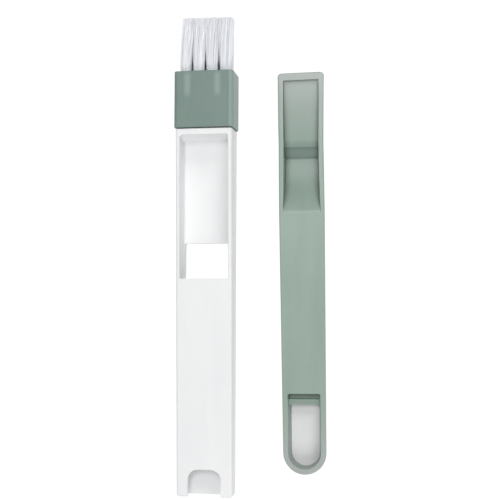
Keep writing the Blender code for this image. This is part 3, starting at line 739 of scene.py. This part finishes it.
bar_length, bar_height, bar_edge, groove_length, groove_height = 0.0024, 0.0040, 0.00015, 0.0026, 0.0016
pocket_clearance, pocket_margin, pocket_softness, pocket_rounded_half = 0.00006, 0.0005, 0.00012, 0.0072
pocket_half = hole_half - slope * hole_half * (pan_height - bar_height) + pocket_clearance
bar_end = hole_far + bar_length
groove_end = bar_end + groove_length
tool = block(
    "pocket",
    (-pocket_half, hole_far - 1.5 * hole_corner, bar_height),
    (pocket_half, groove_end, pan_height + past),
)
wider = 1 + slope * (pan_height + past - bar_height)
stretch(tool, lambda p: p.z > pan_height, (wider, 1, 1), (0, bar_end, 0))
bisect_at(tool, [bar_end, bar_end + bar_edge])
in_groove = lambda p: p.z < pan_height and p.y > bar_end + bar_edge / 2
shift(tool, in_groove, (0, 0, groove_height - bar_height))
round_off(tool, hole_corner, 4, lambda middle, run: along(2, run) and middle.y > groove_end - hair)
cut(pan, tool)
pocket_low = (-pocket_rounded_half, bar_end - pocket_margin, margin)
pocket_high = (pocket_rounded_half, groove_end + pocket_margin, pan_height + margin)
round_sharp(pan, pocket_softness, 2, pocket_low, pocket_high, 50)

hollow_half = 0.009
tool = block(
    "hollow",
    (-hollow_half, groove_end + pan_skin, -past),
    (hollow_half, pit_y, pan_height - pan_skin),
)
under_ramp_ys = [ridge_y + (pit_y - ridge_y) * i / 8 for i in range(9)]
bisect_at(tool, under_ramp_ys[:-1])
for y in under_ramp_ys:
    lowered = pan_skin + (pan_height - pan_skin) * ((pit_y - y) / (pit_y - ridge_y)) ** 2 - pan_height
    shift(tool, lambda p: at_y(y)(p) and p.z > 0, (0, 0, lowered))
cut(pan, tool)
shift(pan, lambda p: True, (0, -pan_length / 2, 0))
pan.location = pan_middle
pan.rotation_euler.z = pan_angle
bpy.ops.object.transform_apply(location=True, rotation=True, scale=True)

hole_middle_x, hole_middle_y, hole_end_fade = 0.0250, -0.0906, 0.0012


def within_hole(tree, spot, edge, fade, end):
    """One inside the hanging hole as seen from above, out to an edge and up to an end, fading beyond."""
    aside = add_node(tree, "ShaderNodeMath", {"operation": "SUBTRACT", 0: spot["X"], 1: hole_middle_x})
    below = add_node(tree, "ShaderNodeMath", {"operation": "SUBTRACT", 0: spot["Y"], 1: hole_middle_y})
    below = add_node(tree, "ShaderNodeMath", {"operation": "MINIMUM", 0: below, 1: 0.0})
    away = add_node(tree, "ShaderNodeCombineXYZ", {"X": aside, "Y": below})
    away = add_node(tree, "ShaderNodeVectorMath", {"operation": "LENGTH", 0: away})
    ends = {"From Min": edge, "From Max": edge + fade, "To Min": 1.0, "To Max": 0.0}
    across = add_node(tree, "ShaderNodeMapRange", {"Value": away.outputs["Value"], **ends})
    ends = {"From Min": end, "From Max": end + hole_end_fade, "To Min": 1.0, "To Max": 0.0}
    along_it = add_node(tree, "ShaderNodeMapRange", {"Value": spot["Y"], **ends})
    return add_node(tree, "ShaderNodeMath", {"operation": "MULTIPLY", 0: across, 1: along_it})


# Pale sage polypropylene with a fine matt texture, a shade lighter and warmer than the cap. A painted sheen
# greys and pales it towards the loop and the tip. Painted shade deepens its green on the step, in the tray
# round it and on the hole's wall, and darkens its inner corners, most in the tray, least at the loop and lip.
pale_sage, tree, shader, place = new_material("matt_pale_sage_polypropylene")
clouds, tone = cloud(
    tree, place, scales=(120, 22, 120), detail=4.0, limits=(0.3, 0.72), colours=("8B9F94", "95A89D")
)
spot = add_node(tree, "ShaderNodeSeparateXYZ", {"Vector": place}).outputs
# Painted sheen: paler and greyer towards the loop and the tip.
away_from_ends = near_middle(tree, spot["Y"], middle=-0.004, reach=0.056, fade=0.036)
sheen_at_ends = {"Fac": away_from_ends, "Color1": rgb("A3ABA6"), "Color2": tone}
mixed = add_node(tree, "ShaderNodeMixRGB", sheen_at_ends)
# Painted shade: a deeper green on the step, in the tray round it and on the hole's wall.
step_middle = pan_middle.y - pan_length / 2 + waist_y - step_length / 2
on_step = near_middle(tree, spot["Y"], step_middle, reach=step_length / 2 - 0.0006, fade=0.0008)
in_scoop = near_middle(tree, spot["Y"], middle=0.050, reach=0.016, fade=0.020)
in_scoop = add_node(tree, "ShaderNodeMath", {"operation": "MULTIPLY", 0: in_scoop, 1: 0.42})
painted_shade = add_node(tree, "ShaderNodeMath", {"operation": "MAXIMUM", 0: on_step, 1: in_scoop})
between_flanks = near_middle(tree, spot["X"], middle=0.0233, reach=0.0080, fade=0.0006)
painted_shade = add_node(tree, "ShaderNodeMath", {"operation": "MULTIPLY", 0: painted_shade, 1: between_flanks})
hole_wall = within_hole(tree, spot, edge=0.0074, fade=0.0004, end=-0.0672)
hole_wall = add_node(tree, "ShaderNodeMath", {"operation": "MULTIPLY", 0: hole_wall, 1: 0.4})
painted_shade = add_node(tree, "ShaderNodeMath", {"operation": "MAXIMUM", 0: painted_shade, 1: hole_wall})
mixed = add_node(tree, "ShaderNodeMixRGB", {"Fac": painted_shade, "Color1": mixed, "Color2": rgb("657A70")})
# How far the painted corner shade may darken: most in the tray, least towards the loop and at the lip.
ends = {"From Min": -0.03, "From Max": 0.0, "To Min": 0.92, "To Max": 0.25}
in_tray = add_node(tree, "ShaderNodeMapRange", {"Value": spot["Y"], **ends})
ends = {"From Min": 0.0785, "From Max": 0.0815, "To Min": 0.0, "To Max": 0.8}
at_lip = add_node(tree, "ShaderNodeMapRange", {"Value": spot["Y"], **ends})
least = add_node(tree, "ShaderNodeMath", {"operation": "MAXIMUM", 0: in_tray, 1: at_lip})
feed(
    tree,
    shader,
    {
        "Base Color": paint_corner_shade(tree, mixed, reach=0.0040, closed=0.50, opened=0.90, least=least),
        "Roughness": add_node(tree, "ShaderNodeMapRange", {"Value": clouds, "To Min": 0.31, "To Max": 0.39}),
        "Normal": mould_grain(tree, place, scale=2400.0, strength=0.12),
        "IOR": 1.49,
    },
)
dress(pan, pale_sage, "dustpan", "sage_plastic_light", "dustpan")


# Floor, backdrop and light
# Both pieces lie on a sheet of white paper in a white room. One lamp hangs high over them, towards the
# bristles, a lower one shines from beyond the bristles, and a third fills in from the other end.


def to_the_eye(tree):
    """One for what the camera sees, by itself, in a reflection or through something clear."""
    path = add_node(tree, "ShaderNodeLightPath").outputs
    seen = {"operation": "MAXIMUM", 0: path["Is Camera Ray"], 1: path["Is Glossy Ray"]}
    seen = add_node(tree, "ShaderNodeMath", seen)
    return add_node(tree, "ShaderNodeMath", {"operation": "MAXIMUM", 0: seen, 1: path["Is Transmission Ray"]})


bpy.ops.object.select_all(action="DESELECT")
bpy.ops.mesh.primitive_plane_add(size=6, location=(0, 0, -0.0002))
floor = bpy.context.object
floor.name = "floor"
paper, tree, shader, place = new_material("white_paper")
feed(tree, shader, {"Base Color": rgb("F2F2F2"), "Roughness": 0.9, "Specular IOR Level": 0.0})
# To the camera the sheet glows, white all round like a cut-out background. Inside the dustpan's loop, while
# the loop lies round it, the glow is taken away: the loop's real shadow shows there, deepened by painted
# shade.
spot = add_node(tree, "ShaderNodeSeparateXYZ", {"Vector": place}).outputs
openness = add_node(tree, "ShaderNodeAmbientOcclusion", {"samples": 16, "Distance": 0.02})
ends = {"From Min": 0.84, "From Max": 0.96, "To Min": 1.0, "To Max": 0.0}
covered = add_node(tree, "ShaderNodeMapRange", {"Value": openness.outputs["AO"], **ends})
in_loop = within_hole(tree, spot, edge=0.0080, fade=0.0012, end=-0.0680)
in_loop = add_node(tree, "ShaderNodeMath", {"operation": "MULTIPLY", 0: in_loop, 1: covered})
strength = add_node(tree, "ShaderNodeMapRange", {"Value": in_loop, "To Min": 0.92, "To Max": 0.0})
glow = add_node(tree, "ShaderNodeEmission", {"Strength": strength})
dull = add_node(tree, "ShaderNodeMapRange", {"Value": in_loop, "To Min": 0.20, "To Max": 0.74})
grey = add_node(tree, "ShaderNodeCombineXYZ", {"X": dull, "Y": dull, "Z": dull})
lit = add_node(tree, "ShaderNodeBsdfDiffuse", {"Color": grey})
sheet = add_node(tree, "ShaderNodeAddShader", {0: glow, 1: lit})
shown = add_node(tree, "ShaderNodeMixShader", {0: to_the_eye(tree), 1: shader, 2: sheet})
feed(tree, tree.nodes["Material Output"], {"Surface": shown})
floor.data.materials.append(paper)

world = bpy.data.worlds.new("studio")
bpy.context.scene.world = world
world.use_nodes = True
tree = world.node_tree
strength = add_node(tree, "ShaderNodeMapRange", {"Value": to_the_eye(tree), "To Min": 0.36, "To Max": 1.0})
feed(tree, tree.nodes["Background"], {"Color": (1, 1, 1, 1), "Strength": strength})


def softbox(name, place, size, power):
    """A square lamp that shines at the middle of the floor."""
    lamp = bpy.data.lights.new(name, "AREA")
    lamp.shape = "SQUARE"
    lamp.size = size
    lamp.energy = power
    holder = bpy.data.objects.new(name, lamp)
    bpy.context.scene.collection.objects.link(holder)
    holder.location = place
    holder.rotation_euler = (-Vector(place)).to_track_quat("-Z", "Y").to_euler()


softbox("high_softbox", place=(0.02, 0.56, 1.92), size=0.5, power=9.5)
softbox("low_softbox", place=(0.75, 1.50, 1.10), size=0.8, power=13.0)
softbox("near_softbox", place=(0.30, -1.40, 1.20), size=0.9, power=13.0)


# Camera
# The photograph looks down on the pair from 0.47 m, from a little to the right and towards the handle's end,
# through a long lens. Its place, its turn and its lens were fitted to the object's edges in the picture.

camera = bpy.data.objects.new("camera", bpy.data.cameras.new("camera"))
bpy.context.scene.collection.objects.link(camera)
camera.location = (0.07588, -0.02199, 0.4647)
camera.rotation_euler = [math.radians(angle) for angle in (3.03, 9.45, 0.19)]
camera.data.lens = 72.0
camera.data.sensor_width = 36.0
camera.data.clip_start = 0.01
bpy.context.scene.camera = camera
bpy.context.scene.view_settings.view_transform = "Standard"
